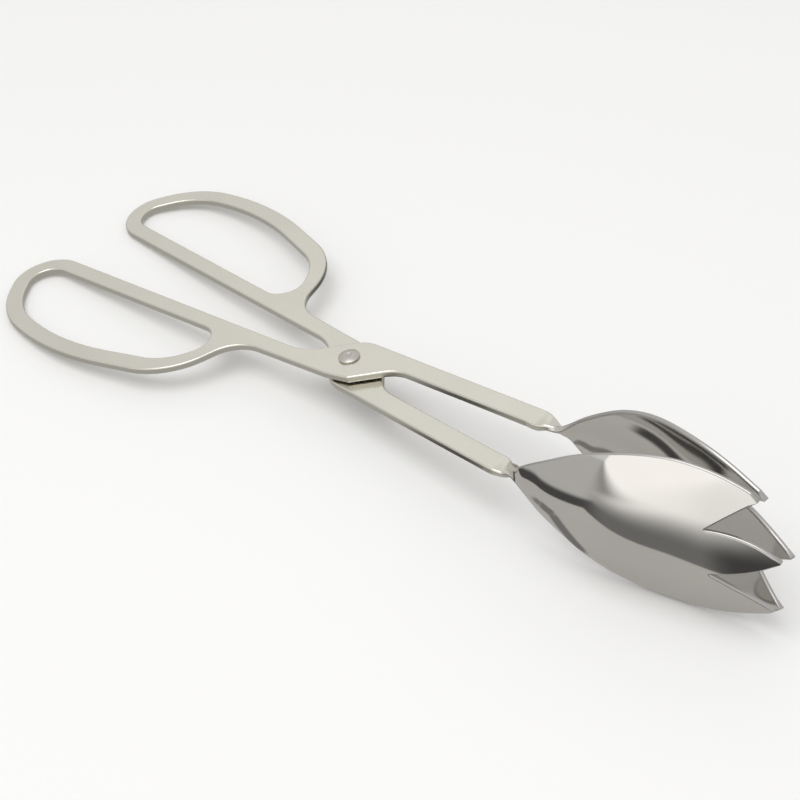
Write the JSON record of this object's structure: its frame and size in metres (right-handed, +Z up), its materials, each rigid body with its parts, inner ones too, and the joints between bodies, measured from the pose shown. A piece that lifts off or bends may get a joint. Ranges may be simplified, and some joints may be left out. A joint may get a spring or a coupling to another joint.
{
  "type": "scissor serving tongs",
  "caption": "Scissor-action serving tongs: two steel arms with finger loops cross at a rivet and end in facing tined bowls.",
  "frame": {"origin": "centre of the bounding box on the surface that the tongs lie on, at its underside", "axes": "+X along the tongs from the finger loops to the tines, +Z up from the table, -Y the side of the upper arm's finger loop"},
  "size_m": [0.2531, 0.0824, 0.0441],
  "materials": {
    "upper_arm_steel": "satin tumbled strip, head pressed and mirror polished",
    "lower_arm_steel": "satin tumbled strip, head pressed and mirror polished",
    "rivet_steel": "satin",
    "washer_steel": "dull"
  },
  "bodies": {
    "lower": {"lower_arm": "lower_arm_steel", "pivot_rivet": "rivet_steel", "spacer_washer": "washer_steel"},
    "upper": {"upper_arm": "upper_arm_steel"}
  },
  "joints": [
    {"name": "pivot", "type": "hinge", "parent": "lower", "child": "upper", "pos_m": [-0.01098, 0, 0.0116], "axis": [-0.0892, -0.0591, 0.9943], "range_deg": [-0.2, 60]}
  ]
}
